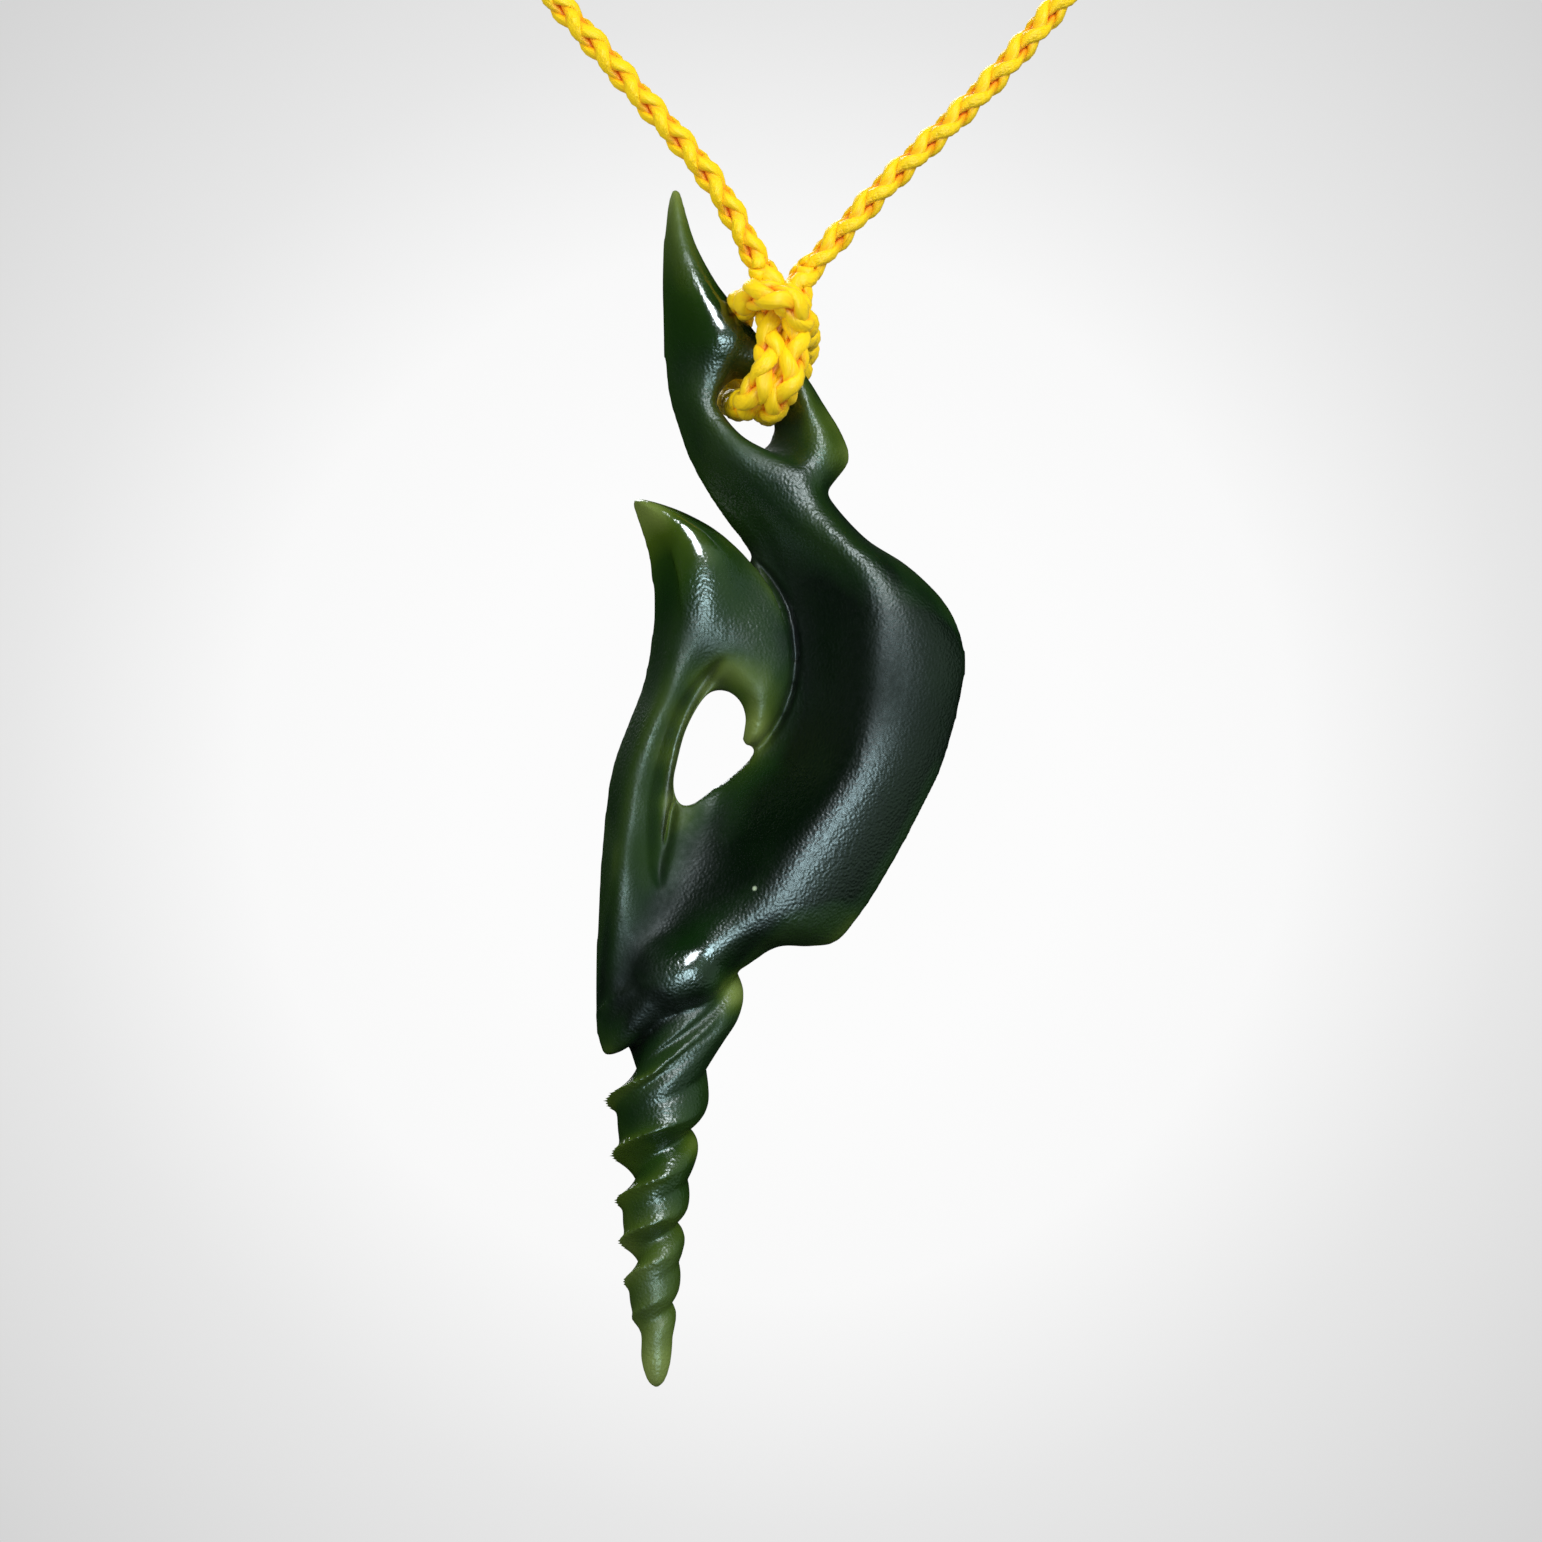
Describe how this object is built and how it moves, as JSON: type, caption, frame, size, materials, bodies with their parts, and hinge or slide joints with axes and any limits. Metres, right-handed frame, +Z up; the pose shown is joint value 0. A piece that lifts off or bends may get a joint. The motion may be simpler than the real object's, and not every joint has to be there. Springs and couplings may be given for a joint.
{
  "type": "stone hook pendant on a plaited neck cord",
  "caption": "Carved green stone fish hook pendant with a fin, an eye for its cord and a twisted tail, hung from a plaited yellow neck cord.",
  "frame": {"origin": "top of the neck loop, where it rests on the nape", "axes": "+Z up, the front of the carving faces -Y, +X to the right seen from the front"},
  "size_m": [0.1234, 0.12, 0.2049],
  "materials": {
    "stone": "satin polished nephrite",
    "cord": "plaited waxed yarn"
  },
  "bodies": {
    "root": {"carving": "stone", "neck_cord": "cord", "hitch_knot": "cord", "nape_knot": "cord"}
  },
  "joints": []
}
